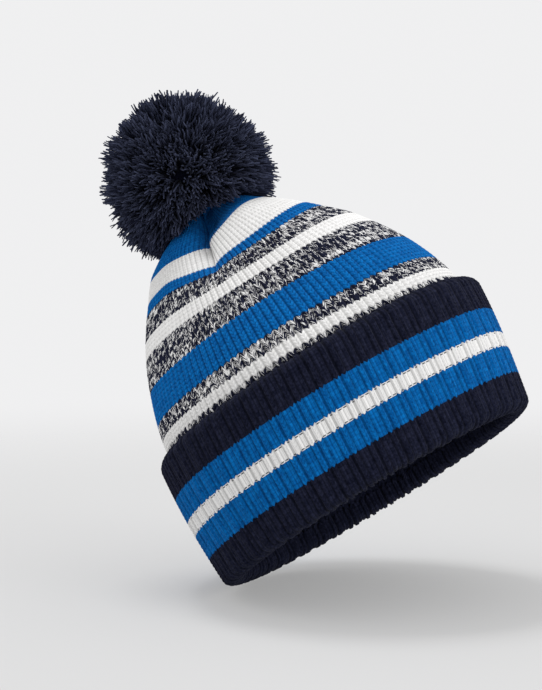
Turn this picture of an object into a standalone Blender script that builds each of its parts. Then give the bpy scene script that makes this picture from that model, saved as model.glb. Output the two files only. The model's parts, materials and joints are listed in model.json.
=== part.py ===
"""Pom pom beanie: a knitted hat with a turned-up striped cuff and a yarn pom pom on its crown.

Units are metres, +Z is up.  The origin is the middle of the rim, on the plane the hat stands on.
The hat is a stack of turned knitted bands over one inner layer; the pom pom hangs on a tie cord
that passes through the gathered crown, and turns and tips about the point where it leaves it.
"""
import math

import bpy

MM = 0.001

# ---- Driving dimensions -------------------------------------------------------------------
KNIT_PLY = 2.4 * MM             # one layer of knitted fabric
PLY_GAP = 0.4 * MM              # clearance between neighbouring layers and bands
FOLD_THICKNESS = 2.6 * MM       # flat fold that the hat stands on

CROWN_RADIUS = 92.5 * MM        # outside of the body where it leaves the cuff
BODY_TAPER = 4.3 * MM           # how much narrower the body is at the rim, inside the cuff
CROWN_POWER = 1.5               # crown outline: radius = (1 - t ** CROWN_POWER) ** CROWN_ROUNDNESS
CROWN_ROUNDNESS = 0.61

CUFF_RIB_PLY = 4.3 * MM         # thick ribbed outer ply of the cuff, at the fold
CUFF_FLARE = 5.0 * MM           # how much wider the cuff is at its shoulder than at its fold
CUFF_FLARE_END = 0.9            # share of the cuff's height where it is widest
CUFF_SHOULDER_ROUND = 6.0 * MM  # rounding of the cuff's thick top edge
HEM_ROUND = 3.0 * MM            # rounding of the fold at the rim

# Coloured bands, bottom to top: name, height, yarn.
CUFF_BANDS = (
    ("cuff_band_navy_lower", 18.5 * MM, "navy"),
    ("cuff_band_blue_lower", 14.6 * MM, "blue"),
    ("cuff_band_white", 8.4 * MM, "white"),
    ("cuff_band_blue_upper", 13.8 * MM, "blue"),
)
CUFF_TOP_BAND = 21.7 * MM       # navy band that rolls over the cuff's top edge
BODY_BANDS = (
    ("body_row_flecked", 2.8 * MM, "marl"),
    ("body_band_white_lower", 6.3 * MM, "white"),
    ("body_band_marl_lower", 8.2 * MM, "marl"),
    ("body_band_blue_wide", 17.9 * MM, "blue"),
    ("body_band_marl_middle", 14.1 * MM, "marl"),
    ("body_band_white_middle", 7.2 * MM, "white"),
    ("body_band_marl_upper", 9.4 * MM, "marl"),
    ("body_band_blue_narrow", 4.6 * MM, "blue"),
    ("body_band_white_upper", 13.0 * MM, "white"),
)
CROWN_CAP_HEIGHT = 27.5 * MM    # blue crown above the last band

CROWN_HOLE_RADIUS = 5.5 * MM    # gathered opening that the tie cord passes through
GATHER_THREAD_RADIUS = 0.8 * MM
CORD_RADIUS = 1.6 * MM          # the pom pom's tie cord
CORD_BELOW_PIVOT = 9.0 * MM     # tie cord inside the hat, down to its knot
CORD_ABOVE_PIVOT = 7.0 * MM     # tie cord between the pivot and the pom pom's core
KNOT_RADIUS = 5.0 * MM
KNOT_FLATNESS = 0.62            # height of the knot over its width

SEAM_RADIUS = 1.1 * MM          # linking seams on the inside of the hat
SEAM_GAP = 1.0 * MM             # between a seam and the faceted inner layer it runs along
DART_COUNT = 4                  # crown darts
DART_TURN = math.radians(-90.0)  # direction of the front dart, from +X
DART_DROP = 42.0 * MM           # from the crown's top down to where a dart starts
DART_TOP_RADIUS = 14.0 * MM     # distance from the axis where a dart ends
BACK_SEAM_FOOT = 8.0 * MM       # height where the back seam starts
BACK_SEAM_STOP = 14.0 * MM      # from the top of the back seam to the foot of the darts

LABEL_WIDTH = 24.0 * MM
LABEL_HEIGHT = 36.0 * MM
LABEL_THICKNESS = 0.9 * MM
LABEL_FOOT = 22.0 * MM          # height of the label's lower edge

POM_RADIUS = 49.0 * MM
POM_RISE = 63.0 * MM            # top of the pom pom above the pivot
POM_CORE_HEIGHT = 20.0 * MM     # core binding above the pivot
POM_WIDEST = 15.0 * MM          # widest part of the pom pom above the pivot
POM_TUCK = 0.10                 # how much narrower the skirt's foot is than the widest part
POM_FOOT = 13.0 * MM            # how far the skirt hangs below the pivot
POM_UNDERSIDE = 5.5 * MM        # underside of the middle tufts above the pivot
POM_THROAT_RADIUS = 8.0 * MM    # hollow around the tie cord
SKIRT_CLEARANCE = 1.0 * MM      # between the skirt and the crown
SKIRT_BRIM = 4.0 * MM           # width of the skirt's foot
BINDING_RING_RADIUS = 7.0 * MM
BINDING_THREAD_RADIUS = 1.3 * MM

# ---- Derived sizes ------------------------------------------------------------------------
CUFF_HEIGHT = sum(band[1] for band in CUFF_BANDS) + CUFF_TOP_BAND
CROWN_HEIGHT = sum(band[1] for band in BODY_BANDS) + CROWN_CAP_HEIGHT
CROWN_TOP = CUFF_HEIGHT + CROWN_HEIGHT
LAYER_STEP = KNIT_PLY + PLY_GAP
RIM_RADIUS = CROWN_RADIUS - BODY_TAPER + LAYER_STEP + PLY_GAP + CUFF_RIB_PLY
SHOULDER_RADIUS = RIM_RADIUS + CUFF_FLARE
PIVOT_HEIGHT = CROWN_TOP        # where the tie cord leaves the crown
CORE_HEIGHT = PIVOT_HEIGHT + POM_CORE_HEIGHT
POM_TOP = PIVOT_HEIGHT + POM_RISE
DART_FOOT = CROWN_TOP - DART_DROP

TURN_STEPS = 36                 # facets around the hat
FINE_STEPS = 24                 # facets around small turned pieces
CUT_SPACING = 8.0 * MM          # spacing of profile points along a curved band
OUTLINE_SAMPLES = 400           # fine steps used to measure along the body's outline
ARC_POINTS = 4                  # points in each rounded corner

# Base colour, roughness and metallic value of each yarn.
YARNS = {
    "navy": ((0.010, 0.012, 0.028, 1.0), 0.90, 0.0),
    "blue": ((0.004, 0.105, 0.400, 1.0), 0.88, 0.0),
    "white": ((0.800, 0.790, 0.770, 1.0), 0.90, 0.0),
    "marl": ((0.210, 0.210, 0.240, 1.0), 0.90, 0.0),
    "pom_yarn": ((0.008, 0.010, 0.024, 1.0), 0.95, 0.0),
    "thread": ((0.012, 0.014, 0.030, 1.0), 0.80, 0.0),
    "label": ((0.700, 0.700, 0.680, 1.0), 0.60, 0.0),
}


# ---- Scene, materials and object helpers --------------------------------------------------
def clear_scene():
    for old in list(bpy.data.objects):
        bpy.data.objects.remove(old, do_unlink=True)


def new_collection(name):
    collection = bpy.data.collections.new(name)
    bpy.context.scene.collection.children.link(collection)
    return collection


def yarn_material(node, yarn):
    colour, roughness, metallic = YARNS[yarn]
    material = bpy.data.materials.new(node + "_" + yarn)
    material.use_nodes = True
    shader = material.node_tree.nodes["Principled BSDF"]
    shader.inputs["Base Color"].default_value = colour
    shader.inputs["Roughness"].default_value = roughness
    shader.inputs["Metallic"].default_value = metallic
    return material


def add_object(name, data, yarn, parent=None):
    piece = bpy.data.objects.new(name, data)
    PARTS.objects.link(piece)
    data.materials.append(yarn_material(name, yarn))
    if parent is not None:
        piece.parent = parent
        piece.matrix_parent_inverse.identity()
    return piece


def adopt_primitive(name, yarn, parent=None):
    """Give the primitive that was just added a name, a collection and a material."""
    piece = bpy.context.object
    piece.name = name
    piece.data.name = name
    for collection in list(piece.users_collection):
        collection.objects.unlink(piece)
    PARTS.objects.link(piece)
    piece.data.materials.append(yarn_material(name, yarn))
    piece.data.shade_smooth()
    if parent is not None:
        piece.parent = parent
        piece.matrix_parent_inverse.identity()
    return piece


def turned(name, loop, yarn, steps=TURN_STEPS, parent=None, base=0.0):
    """Turn a closed loop of (radius, height) about Z; it runs down the outside and up the inside."""
    mesh = bpy.data.meshes.new(name)
    points = [(radius, 0.0, height - base) for radius, height in loop]
    edges = [(i, (i + 1) % len(points)) for i in range(len(points))]
    if loop[0][0] == 0.0 and loop[-1][0] == 0.0:
        edges.pop()
    mesh.from_pydata(points, edges, [])
    piece = add_object(name, mesh, yarn, parent)
    screw = piece.modifiers.new("turn", "SCREW")
    screw.axis = "Z"
    screw.angle = 2.0 * math.pi
    screw.steps = steps
    screw.render_steps = steps
    screw.use_merge_vertices = True
    screw.merge_threshold = 0.00001
    screw.use_smooth_shade = True
    return piece


def tube(name, route, radius, yarn, parent=None):
    """A round thread along a list of points."""
    curve = bpy.data.curves.new(name, "CURVE")
    curve.dimensions = "3D"
    curve.bevel_depth = radius
    curve.bevel_resolution = 2
    curve.use_fill_caps = True
    spline = curve.splines.new("POLY")
    spline.points.add(len(route) - 1)
    for point, place in zip(spline.points, route):
        point.co = (*place, 1.0)
    return add_object(name, curve, yarn, parent)


def pivot_empty(name, parent=None):
    """An empty on the crown, where the tie cord leaves it; the next body hangs from it."""
    empty = bpy.data.objects.new(name, None)
    empty.empty_display_size = 10 * MM
    PARTS.objects.link(empty)
    if parent is None:
        empty.location = (0.0, 0.0, PIVOT_HEIGHT)
    else:
        empty.parent = parent
    return empty


# ---- Outlines -----------------------------------------------------------------------------
def body_radius(height):
    """Outside radius of the knitted body."""
    if height <= CUFF_HEIGHT:
        return CROWN_RADIUS - BODY_TAPER * (1.0 - height / CUFF_HEIGHT)
    share = min(1.0, (height - CUFF_HEIGHT) / CROWN_HEIGHT)
    return CROWN_RADIUS * (1.0 - share ** CROWN_POWER) ** CROWN_ROUNDNESS


def crown_height_at(radius):
    """Height of the crown's outside at a radius: the outline formula, solved for height."""
    share = (1.0 - (radius / CROWN_RADIUS) ** (1.0 / CROWN_ROUNDNESS)) ** (1.0 / CROWN_POWER)
    return CUFF_HEIGHT + share * CROWN_HEIGHT


def body_point(height, depth):
    """A point under the body's outside, at a depth along the outline's own normal."""
    reach = 0.05 * MM
    rise = 2.0 * reach
    run = body_radius(height + reach) - body_radius(height - reach)
    length = math.hypot(rise, run)
    normal = (rise / length, -run / length)
    return body_radius(height) - depth * normal[0], height - depth * normal[1]


def cuff_radius(height):
    """Outside radius of the cuff: a gentle barrel that widens from the fold to the shoulder."""
    share = min(1.0, height / (CUFF_HEIGHT * CUFF_FLARE_END))
    return RIM_RADIUS + CUFF_FLARE * math.sin(0.5 * math.pi * share)


def steps_between(low, high, spacing=CUT_SPACING):
    count = max(1, math.ceil((high - low) / spacing))
    return [low + (high - low) * i / count for i in range(count + 1)]


def outline_heights(low, high):
    """Heights that cut the curved outline into equal lengths; inside the cuff it is straight."""
    if high <= CUFF_HEIGHT:
        return [low, high]
    if low < CUFF_HEIGHT:
        return [low] + outline_heights(CUFF_HEIGHT, high)
    fine = [low + (high - low) * i / OUTLINE_SAMPLES for i in range(OUTLINE_SAMPLES + 1)]
    lengths = [0.0]
    for below, above in zip(fine, fine[1:]):
        run = body_radius(above) - body_radius(below)
        lengths.append(lengths[-1] + math.hypot(above - below, run))
    count = max(1, math.ceil(lengths[-1] / CUT_SPACING))
    heights = [low]
    for cut in range(1, count):
        reach = lengths[-1] * cut / count
        heights.append(next(h for h, length in zip(fine, lengths) if length >= reach))
    return heights + [high]


def arc(centre, radius, start, end):
    """Points of a rounded corner, angles in degrees from +X towards +Z."""
    turns = [math.radians(start + (end - start) * i / ARC_POINTS) for i in range(ARC_POINTS + 1)]
    return [(centre[0] + radius * math.cos(a), centre[1] + radius * math.sin(a)) for a in turns]


def body_band_loop(low, high, depth, thickness):
    """Closed section of a band that follows the body, between two heights."""
    heights = outline_heights(low, high)
    outer = [body_point(h, depth) for h in reversed(heights)]
    inner = [body_point(h, depth + thickness) for h in heights]
    return outer + inner


# ---- The hat ------------------------------------------------------------------------------
def make_cuff():
    """Inner ply with the flat fold at the rim, and the coloured outer ply around it."""
    fold_outer = RIM_RADIUS - HEM_ROUND + KNIT_PLY
    fold_inner = body_radius(0.0) - 2.0 * LAYER_STEP
    wall_foot = FOLD_THICKNESS
    wall_top = CUFF_HEIGHT - CUFF_SHOULDER_ROUND - PLY_GAP
    outer_wall = [(body_radius(h) + PLY_GAP + KNIT_PLY, h) for h in (wall_top, wall_foot)]
    inner_wall = [(body_radius(h) + PLY_GAP, h) for h in (wall_foot, wall_top)]
    chamfer = FOLD_THICKNESS * 0.5
    loop = outer_wall + [
        (fold_outer, wall_foot),
        (fold_outer, chamfer),
        (fold_outer - chamfer, 0.0),
        (fold_inner + chamfer, 0.0),
        (fold_inner, chamfer),
        (fold_inner, wall_foot),
    ] + inner_wall
    turned("cuff_inner_ply", loop, "navy")

    foot = FOLD_THICKNESS + PLY_GAP
    for name, height, yarn in CUFF_BANDS:
        top = (foot if name != CUFF_BANDS[0][0] else 0.0) + height
        heights = steps_between(foot, top - PLY_GAP)
        outer = [(cuff_radius(h), h) for h in reversed(heights)]
        inner = [(cuff_wall_inner(h), h) for h in heights]
        if name == CUFF_BANDS[0][0]:
            outer[-1] = (outer[-1][0] - HEM_ROUND * 0.5, outer[-1][1])
        turned(name, outer + inner, yarn)
        foot = top
    make_cuff_top(foot)


def cuff_wall_inner(height):
    """Inside of the cuff's outer ply: just clear of the inner ply."""
    return body_radius(height) + 2.0 * PLY_GAP + KNIT_PLY


def make_cuff_top(foot):
    """Navy band that closes the cuff: it rolls over the top edge, down to the body."""
    crest_centre = (SHOULDER_RADIUS - CUFF_SHOULDER_ROUND, CUFF_HEIGHT - CUFF_SHOULDER_ROUND)
    lip_radius = body_radius(CUFF_HEIGHT) + PLY_GAP
    lip_drop = CUFF_SHOULDER_ROUND * 0.5
    rounded = arc(crest_centre, CUFF_SHOULDER_ROUND, 90.0, 0.0)
    heights = steps_between(foot, crest_centre[1])[:-1]
    outer = [(cuff_radius(h), h) for h in reversed(heights)]
    wall_top = CUFF_HEIGHT - CUFF_SHOULDER_ROUND
    inner = [(cuff_wall_inner(h), h) for h in (foot, wall_top)]
    lip = [(lip_radius, wall_top), (lip_radius, CUFF_HEIGHT - lip_drop)]
    turned("cuff_band_navy_upper", rounded + outer + inner + lip, "navy")


def make_body():
    """Outer ply: the stretch inside the cuff, the coloured bands and the crown cap."""
    foot = FOLD_THICKNESS + PLY_GAP
    join = CUFF_HEIGHT
    turned("body_under_cuff", body_band_loop(foot, join - PLY_GAP, 0.0, KNIT_PLY), "navy")
    low = join
    for name, height, yarn in BODY_BANDS:
        turned(name, body_band_loop(low, low + height - PLY_GAP, 0.0, KNIT_PLY), yarn)
        low += height
    high = crown_height_at(CROWN_HOLE_RADIUS + KNIT_PLY)
    turned("crown_cap_blue", body_band_loop(low, high, 0.0, KNIT_PLY), "blue")


def lining_point(height, depth=0.0):
    return body_point(height, LAYER_STEP + depth)


def make_inner_layer():
    """One knitted layer from the rim to the crown, on the side that meets the head."""
    foot = FOLD_THICKNESS + PLY_GAP
    high = crown_height_at(CROWN_HOLE_RADIUS + 2.0 * LAYER_STEP)
    turned("inner_layer", body_band_loop(foot, high, LAYER_STEP, KNIT_PLY), "navy")


def make_seams():
    """Linking seams on the inside: one dart in each quarter of the crown, and the back seam."""
    depth = KNIT_PLY + SEAM_GAP + SEAM_RADIUS
    dart_head = crown_height_at(DART_TOP_RADIUS)
    for index in range(DART_COUNT):
        turn = DART_TURN + index * 2.0 * math.pi / DART_COUNT
        route = []
        for height in outline_heights(DART_FOOT, dart_head):
            radius, level = lining_point(height, depth)
            route.append((radius * math.cos(turn), radius * math.sin(turn), level))
        tube("dart_seam_%d" % (index + 1), route, SEAM_RADIUS, "thread")

    route = []
    for height in outline_heights(BACK_SEAM_FOOT, DART_FOOT - BACK_SEAM_STOP):
        radius, level = lining_point(height, depth)
        route.append((0.0, radius, level))
    tube("back_seam", route, SEAM_RADIUS, "thread")


def make_gather_thread():
    """Thread that draws the crown together around the tie cord."""
    ring = CROWN_HOLE_RADIUS - GATHER_THREAD_RADIUS
    height = lining_point(crown_height_at(CROWN_HOLE_RADIUS + 2.0 * LAYER_STEP))[1]
    bpy.ops.mesh.primitive_torus_add(
        major_radius=ring, minor_radius=GATHER_THREAD_RADIUS,
        major_segments=FINE_STEPS, minor_segments=8, location=(0.0, 0.0, height))
    adopt_primitive("crown_gather_thread", "thread")


def make_label():
    """Blank care label, hung inside at the back, over the seam."""
    middle = LABEL_FOOT + 0.5 * LABEL_HEIGHT
    seam_face = KNIT_PLY + SEAM_GAP + PLY_GAP + 2.0 * SEAM_RADIUS
    distance = min(lining_point(LABEL_FOOT, seam_face)[0], lining_point(middle, seam_face)[0])
    bpy.ops.mesh.primitive_cube_add(
        size=1.0, location=(0.0, distance - 0.5 * LABEL_THICKNESS, middle))
    label = adopt_primitive("care_label", "label")
    for corner in label.data.vertices:
        corner.co.x *= LABEL_WIDTH
        corner.co.y *= LABEL_THICKNESS
        corner.co.z *= LABEL_HEIGHT
    rounding = label.modifiers.new("edges", "BEVEL")
    rounding.width = LABEL_THICKNESS * 0.25
    rounding.segments = 1


# ---- The pom pom --------------------------------------------------------------------------
def make_tie():
    """Tie cord through the crown, its knot inside, and its upper end in the pom pom."""
    twist = pivot_empty("twist_pivot")
    swivel = pivot_empty("swivel_pivot", twist)
    tuft = pivot_empty("tuft_pivot", swivel)

    half_gap = 0.5 * PLY_GAP
    tube("tie_cord_lower", [(0, 0, -CORD_BELOW_PIVOT), (0, 0, -half_gap)],
         CORD_RADIUS, "thread", twist)
    tube("tie_cord_upper", [(0, 0, half_gap), (0, 0, CORD_ABOVE_PIVOT)],
         CORD_RADIUS, "thread", swivel)

    knot_half_height = KNOT_RADIUS * KNOT_FLATNESS
    knot_height = -CORD_BELOW_PIVOT - PLY_GAP - knot_half_height
    bpy.ops.mesh.primitive_uv_sphere_add(
        segments=FINE_STEPS, ring_count=12, radius=KNOT_RADIUS, location=(0.0, 0.0, knot_height))
    knot = adopt_primitive("tie_knot", "thread", twist)
    for point in knot.data.vertices:
        point.co.z *= KNOT_FLATNESS
    return tuft


def pom_radius(height):
    """Outside of the ball of yarn: an upper half ellipse over a fuller lower one."""
    middle = PIVOT_HEIGHT + POM_WIDEST
    if height >= middle:
        share = (height - middle) / (POM_TOP - middle)
        return POM_RADIUS * math.sqrt(max(0.0, 1.0 - share * share))
    share = (middle - height) / (middle - (PIVOT_HEIGHT - POM_FOOT))
    return POM_RADIUS * (1.0 - POM_TUCK * share ** 2)


def skirt_point(height):
    """A point of the skirt's underside, clear of the crown below it."""
    return body_point(height, -2.0 * SKIRT_CLEARANCE)


def pom_side(low, high, count):
    """Points down the ball's outside between two heights, closer together near its top."""
    turns = [0.5 * math.pi * i / count for i in range(count + 1)]
    heights = [low + (high - low) * math.cos(a) for a in turns]
    return [(pom_radius(h), h) for h in heights]


def make_pom(tuft):
    """Tufts above and below the core binding, and the skirt of yarn that lies on the crown."""
    groove = BINDING_THREAD_RADIUS + PLY_GAP
    ring_in = BINDING_RING_RADIUS - groove
    ring_out = BINDING_RING_RADIUS + groove
    half_gap = 0.5 * PLY_GAP
    base = PIVOT_HEIGHT

    split = CORE_HEIGHT
    upper = pom_side(split + half_gap, POM_TOP, 9)
    upper[0] = (0.0, POM_TOP)
    upper += [(ring_out, split + half_gap), (ring_out, split + groove),
              (ring_in, split + groove), (ring_in, split + half_gap), (0.0, split + half_gap)]
    turned("pom_upper_tufts", upper, "pom_yarn", 32, tuft, base)

    under = PIVOT_HEIGHT + POM_UNDERSIDE
    throat = POM_THROAT_RADIUS
    roof = PIVOT_HEIGHT + CORD_ABOVE_PIVOT + 2.0 * PLY_GAP
    roof = max(roof, under + PLY_GAP)
    middle = [(pom_radius(h), h) for h in reversed(steps_between(under, split - half_gap))]
    middle += [(throat, under), (throat, roof), (0.0, roof),
               (0.0, split - half_gap), (ring_in, split - half_gap), (ring_in, split - groove),
               (ring_out, split - groove), (ring_out, split - half_gap)]
    middle = middle[-5:] + middle[:-5]
    turned("pom_middle_tufts", middle, "pom_yarn", 32, tuft, base)

    bpy.ops.mesh.primitive_torus_add(
        major_radius=BINDING_RING_RADIUS, minor_radius=BINDING_THREAD_RADIUS,
        major_segments=FINE_STEPS, minor_segments=8, location=(0.0, 0.0, POM_CORE_HEIGHT))
    adopt_primitive("pom_core_binding", "thread", tuft)

    foot = PIVOT_HEIGHT - POM_FOOT
    top = under - PLY_GAP
    outside = [(pom_radius(h), h) for h in reversed(steps_between(foot, top))]
    reach = pom_radius(foot)
    mouth = throat + SKIRT_CLEARANCE
    inside = [(reach - SKIRT_BRIM, foot)]
    for height in outline_heights(foot, crown_height_at(mouth)):
        radius = body_radius(height)
        if mouth <= radius <= reach - SKIRT_BRIM:
            inside.append(skirt_point(height))
    inside.append((mouth, top))
    turned("pom_skirt_tufts", outside + inside, "pom_yarn", 32, tuft, base)


clear_scene()
PARTS = new_collection("pom_pom_beanie")
make_cuff()
make_body()
make_inner_layer()
make_seams()
make_gather_thread()
make_label()
make_pom(make_tie())
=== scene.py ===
"""Looks of the pom pom beanie: knitted stripes, inside layer, seams, label and yarn pom pom.

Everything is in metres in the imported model's frame.  The knit is built as dense rings of stitches
whose rows follow the V of each stitch, so that colour changes have the real toothed edge.
"""
import json
import math

import bpy
import numpy as np
from mathutils import Matrix, Vector


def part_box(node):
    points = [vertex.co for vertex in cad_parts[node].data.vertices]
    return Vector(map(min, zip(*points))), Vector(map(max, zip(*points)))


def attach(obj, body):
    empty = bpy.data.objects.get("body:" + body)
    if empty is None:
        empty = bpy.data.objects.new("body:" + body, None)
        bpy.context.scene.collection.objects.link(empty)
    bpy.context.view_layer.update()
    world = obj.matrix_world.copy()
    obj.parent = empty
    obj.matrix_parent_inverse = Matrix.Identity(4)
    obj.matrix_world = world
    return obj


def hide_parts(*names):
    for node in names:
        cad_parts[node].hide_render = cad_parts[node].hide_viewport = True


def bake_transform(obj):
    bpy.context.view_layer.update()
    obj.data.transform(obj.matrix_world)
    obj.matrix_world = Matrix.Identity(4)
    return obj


MM = 0.001

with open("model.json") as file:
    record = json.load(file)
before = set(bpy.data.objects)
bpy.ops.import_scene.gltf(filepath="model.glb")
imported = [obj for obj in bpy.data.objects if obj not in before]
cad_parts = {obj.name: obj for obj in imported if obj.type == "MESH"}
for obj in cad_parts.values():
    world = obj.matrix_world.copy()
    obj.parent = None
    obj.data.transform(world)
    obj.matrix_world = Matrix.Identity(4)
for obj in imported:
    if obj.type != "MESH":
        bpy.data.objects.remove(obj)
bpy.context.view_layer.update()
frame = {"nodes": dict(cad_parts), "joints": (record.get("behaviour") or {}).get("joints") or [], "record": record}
rng = np.random.default_rng(20)

# ---- Sizes taken from the frame --------------------------------------------------------------
CUFF_NODES = ("cuff_band_navy_lower", "cuff_band_blue_lower", "cuff_band_white",
              "cuff_band_blue_upper", "cuff_band_navy_upper")
BODY_NODES = ("body_under_cuff", "body_row_flecked", "body_band_white_lower",
              "body_band_marl_lower", "body_band_blue_wide", "body_band_marl_middle",
              "body_band_white_middle", "body_band_marl_upper", "body_band_blue_narrow",
              "body_band_white_upper", "crown_cap_blue")

PIVOT = next(Vector(joint["pos_m"]) for joint in frame["joints"] if joint["name"] == "pom_twist")
CUFF_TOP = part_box("cuff_band_navy_upper")[1].z
SHOULDER_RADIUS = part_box("cuff_band_navy_upper")[1].x
CROWN_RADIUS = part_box("body_row_flecked")[1].x
CROWN_TOP = PIVOT.z
CROWN_HEIGHT = CROWN_TOP - CUFF_TOP
RIM_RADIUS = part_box("cuff_inner_ply")[1].x + 0.6 * MM
INNER_RADIUS = CROWN_RADIUS - 10.0 * MM        # inside of the hat at the rim
POM_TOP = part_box("pom_upper_tufts")[1].z
POM_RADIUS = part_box("pom_middle_tufts")[1].x
POM_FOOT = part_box("pom_skirt_tufts")[0].z

# ---- The knit --------------------------------------------------------------------------------
CROWN_POWER = 1.5           # with the roundness, the curve of the crown's outline
CROWN_ROUNDNESS = 0.61
CROWN_CLOSED = 0.055        # how near the crown's outline comes to its top, as a root of the share
BODY_TAPER = 4.3 * MM       # the body narrows by this from the cuff's top to the rim
BODY_FOOT = 3.0 * MM        # the body's outline starts this high inside the fold
PLY = 2.4 * MM
SHOULDER_ROUND = 6.0 * MM   # radius of the cuff's thick top edge
SHOULDER_LIP = 0.5 * MM     # the edge starts this far below where its radius asks
FOLD_RADIUS = 5.0 * MM      # half the height of the fold at the rim
FOLD_TOP = 14.0 * MM        # the cuff's knit ends this high inside the rim

BODY_WALES = 128            # V columns round the body
BODY_SAMPLES = 10           # mesh columns to a V column
CUFF_PERIODS = 48           # rib repeats round the cuff
CUFF_SAMPLES = 28           # mesh columns to a rib repeat
COURSE = 2.3 * MM           # height of one row of stitches
COURSE_SAMPLES = 5          # mesh rows to a row of stitches
HIDDEN_SAMPLES = (6, 3)     # the same two for the body inside the cuff
INSIDE_SAMPLES = (4, 3)     # and for the inner layer
CHEVRON = 0.36              # half the rise of a stitch's V, in courses
CUFF_CHEVRON = 0.34

VIEW_AZIMUTH = 13.0         # the camera stands this far round from the front dart
VIEW_ELEVATION = -9.0
VIEW_ROLL = 31.2            # the hat leans this far to the left in the picture
VIEW_DISTANCE = 1.258
LENS = 120.0
AIM_RIGHT = -7.6 * MM       # the camera looks at a point this far right of the axis
AIM_HEIGHT = 102.3 * MM


def smoothstep(low, high, value):
    """0 at low, 1 at high; high may be the smaller of the two."""
    share = np.clip((value - low) / (high - low), 0.0, 1.0)
    return share * share * (3.0 - 2.0 * share)


def view_axes():
    """Right and back directions of the camera before it is rolled."""
    azimuth = math.radians(VIEW_AZIMUTH)
    elevation = math.radians(VIEW_ELEVATION)
    right = Vector((math.cos(azimuth), math.sin(azimuth), 0.0))
    back = Vector((math.sin(azimuth) * math.cos(elevation),
                   -math.cos(azimuth) * math.cos(elevation), math.sin(elevation)))
    return right, back


# ---- Drape: how the soft hat departs from the turned CAD shape -------------------------------
DART_TURNS = np.radians([-90.0, 0.0, 90.0, 180.0])
LEAN_HEIGHTS = np.array([0.0, 71.0, 110.0, 145.0, 163.0, 190.0, 260.0]) * MM
LEAN_SHIFTS = np.array([0.0, 5.4, 3.8, 0.8, -2.0, 1.0, 4.6]) * MM
# The stripes of the crown's lobes ride up towards the pom pom, most on the right, and dip at
# the darts.
LIFT_HEIGHTS = np.array([0.0, 112.0, 126.0, 134.0, 142.0, 148.0, 160.0, 172.0, 184.0, 260.0]) * MM
LIFT_RIGHT = np.array([0.0, 0.0, 2.5, 5.0, 6.5, 8.5, 9.0, 6.0, 1.0, 0.0]) * MM
LIFT_LEFT = np.array([0.0, 0.0, 2.0, 4.0, 6.4, 8.0, 4.6, 3.0, 1.0, 0.0]) * MM
LIFT_LOBE = np.array([0.0, 0.0, 0.0, 0.0, 0.0, 1.5, 7.0, 4.5, 1.0, 0.0]) * MM
DART_DIPS = np.array([1.4, -1.0, 0.5, 0.5]) * MM
DIP_WIDTH = 0.085           # radians either side of a dart over which the dip fades
DART_FOLD = 0.52            # how deep the crown folds in at a dart, as a share of the radius
DART_FOLD_WIDTH = 0.10      # radians
LOBE_SWELL = 0.05           # how far the crown swells between dart and lobe, as a share
HOLLOW_DEPTH = 0.42         # the valley to the right of the front dart
HOLLOW_TURN = math.radians(-73.0)
HOLLOW_WIDTH = math.radians(18.0)
TILT = 0.012                # rise of the crown towards the right of the picture


def nearest_dart(turn):
    """Angle to the nearest dart, and how far the stripes dip there."""
    gaps = np.array([np.arctan2(np.sin(turn - dart), np.cos(turn - dart)) for dart in DART_TURNS])
    pick = np.argmin(np.abs(gaps), axis=0)
    return np.take_along_axis(gaps, pick[None], axis=0)[0], DART_DIPS[pick]


def crown_share(height):
    """Radius of the crown at a height, as a share of the body's."""
    rise = np.clip((height - CUFF_TOP) / CROWN_HEIGHT, 0.0, 0.97)
    return (1.0 - rise ** CROWN_POWER) ** CROWN_ROUNDNESS


def drape(points):
    """Moves points of the hat: crown folds at the darts, sag, and the lean of the filled hat."""
    x, y, z = points[..., 0], points[..., 1], points[..., 2]
    turn = np.arctan2(y, x)
    radius = np.hypot(x, y)
    gap, dip = nearest_dart(turn)
    crown = smoothstep(134 * MM, 172 * MM, z)
    lobe = np.cos(2.0 * gap) ** 2
    fold = np.exp(-np.abs(gap) / DART_FOLD_WIDTH) * smoothstep(4.0 * MM, 16.0 * MM, radius)
    radius = radius * (1.0 + crown * (LOBE_SWELL * (1.0 - lobe) - DART_FOLD * fold))
    hollow = np.exp(-((turn - HOLLOW_TURN) / HOLLOW_WIDTH) ** 2)
    hollow = hollow * smoothstep(12.0 * MM, 24.0 * MM, radius)
    radius = radius * (1.0 - HOLLOW_DEPTH * hollow * smoothstep(158 * MM, 169 * MM, z))
    from_front = np.degrees(np.arctan2(np.sin(turn + 0.5 * math.pi), np.cos(turn + 0.5 * math.pi)))
    lobe_front = np.exp(-((from_front - 38.0) / 30.0) ** 2)
    rightward = smoothstep(16.0, 82.0, from_front) * smoothstep(180.0, 140.0, from_front)
    leftward = smoothstep(2.0, -38.0, from_front) * smoothstep(-180.0, -150.0, from_front)
    lift = (np.interp(z, LIFT_HEIGHTS, LIFT_RIGHT) * rightward
            + np.interp(z, LIFT_HEIGHTS, LIFT_LEFT) * leftward
            + np.interp(z, LIFT_HEIGHTS, LIFT_LOBE) * lobe_front
            - dip * smoothstep(128 * MM, 150 * MM, z) * np.exp(-np.abs(gap) / DIP_WIDTH))
    radius = radius * crown_share(z + lift) / crown_share(z)
    wobble = 0.7 * MM * np.sin(3.0 * turn + 0.6) * np.sin(z / (34 * MM))
    wobble = wobble + 0.5 * MM * np.sin(7.0 * turn + 1.9 + z / (25 * MM))
    radius = radius + wobble * smoothstep(0.0, 30 * MM, radius)
    right, _ = view_axes()
    lean = np.interp(z, LEAN_HEIGHTS, LEAN_SHIFTS)
    across = x * right.x + y * right.y
    moved = np.empty_like(points)
    moved[..., 0] = radius * np.cos(turn) + lean * right.x
    moved[..., 1] = radius * np.sin(turn) + lean * right.y
    moved[..., 2] = z + lift + TILT * across * smoothstep(60 * MM, 110 * MM, z)
    return moved


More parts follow.
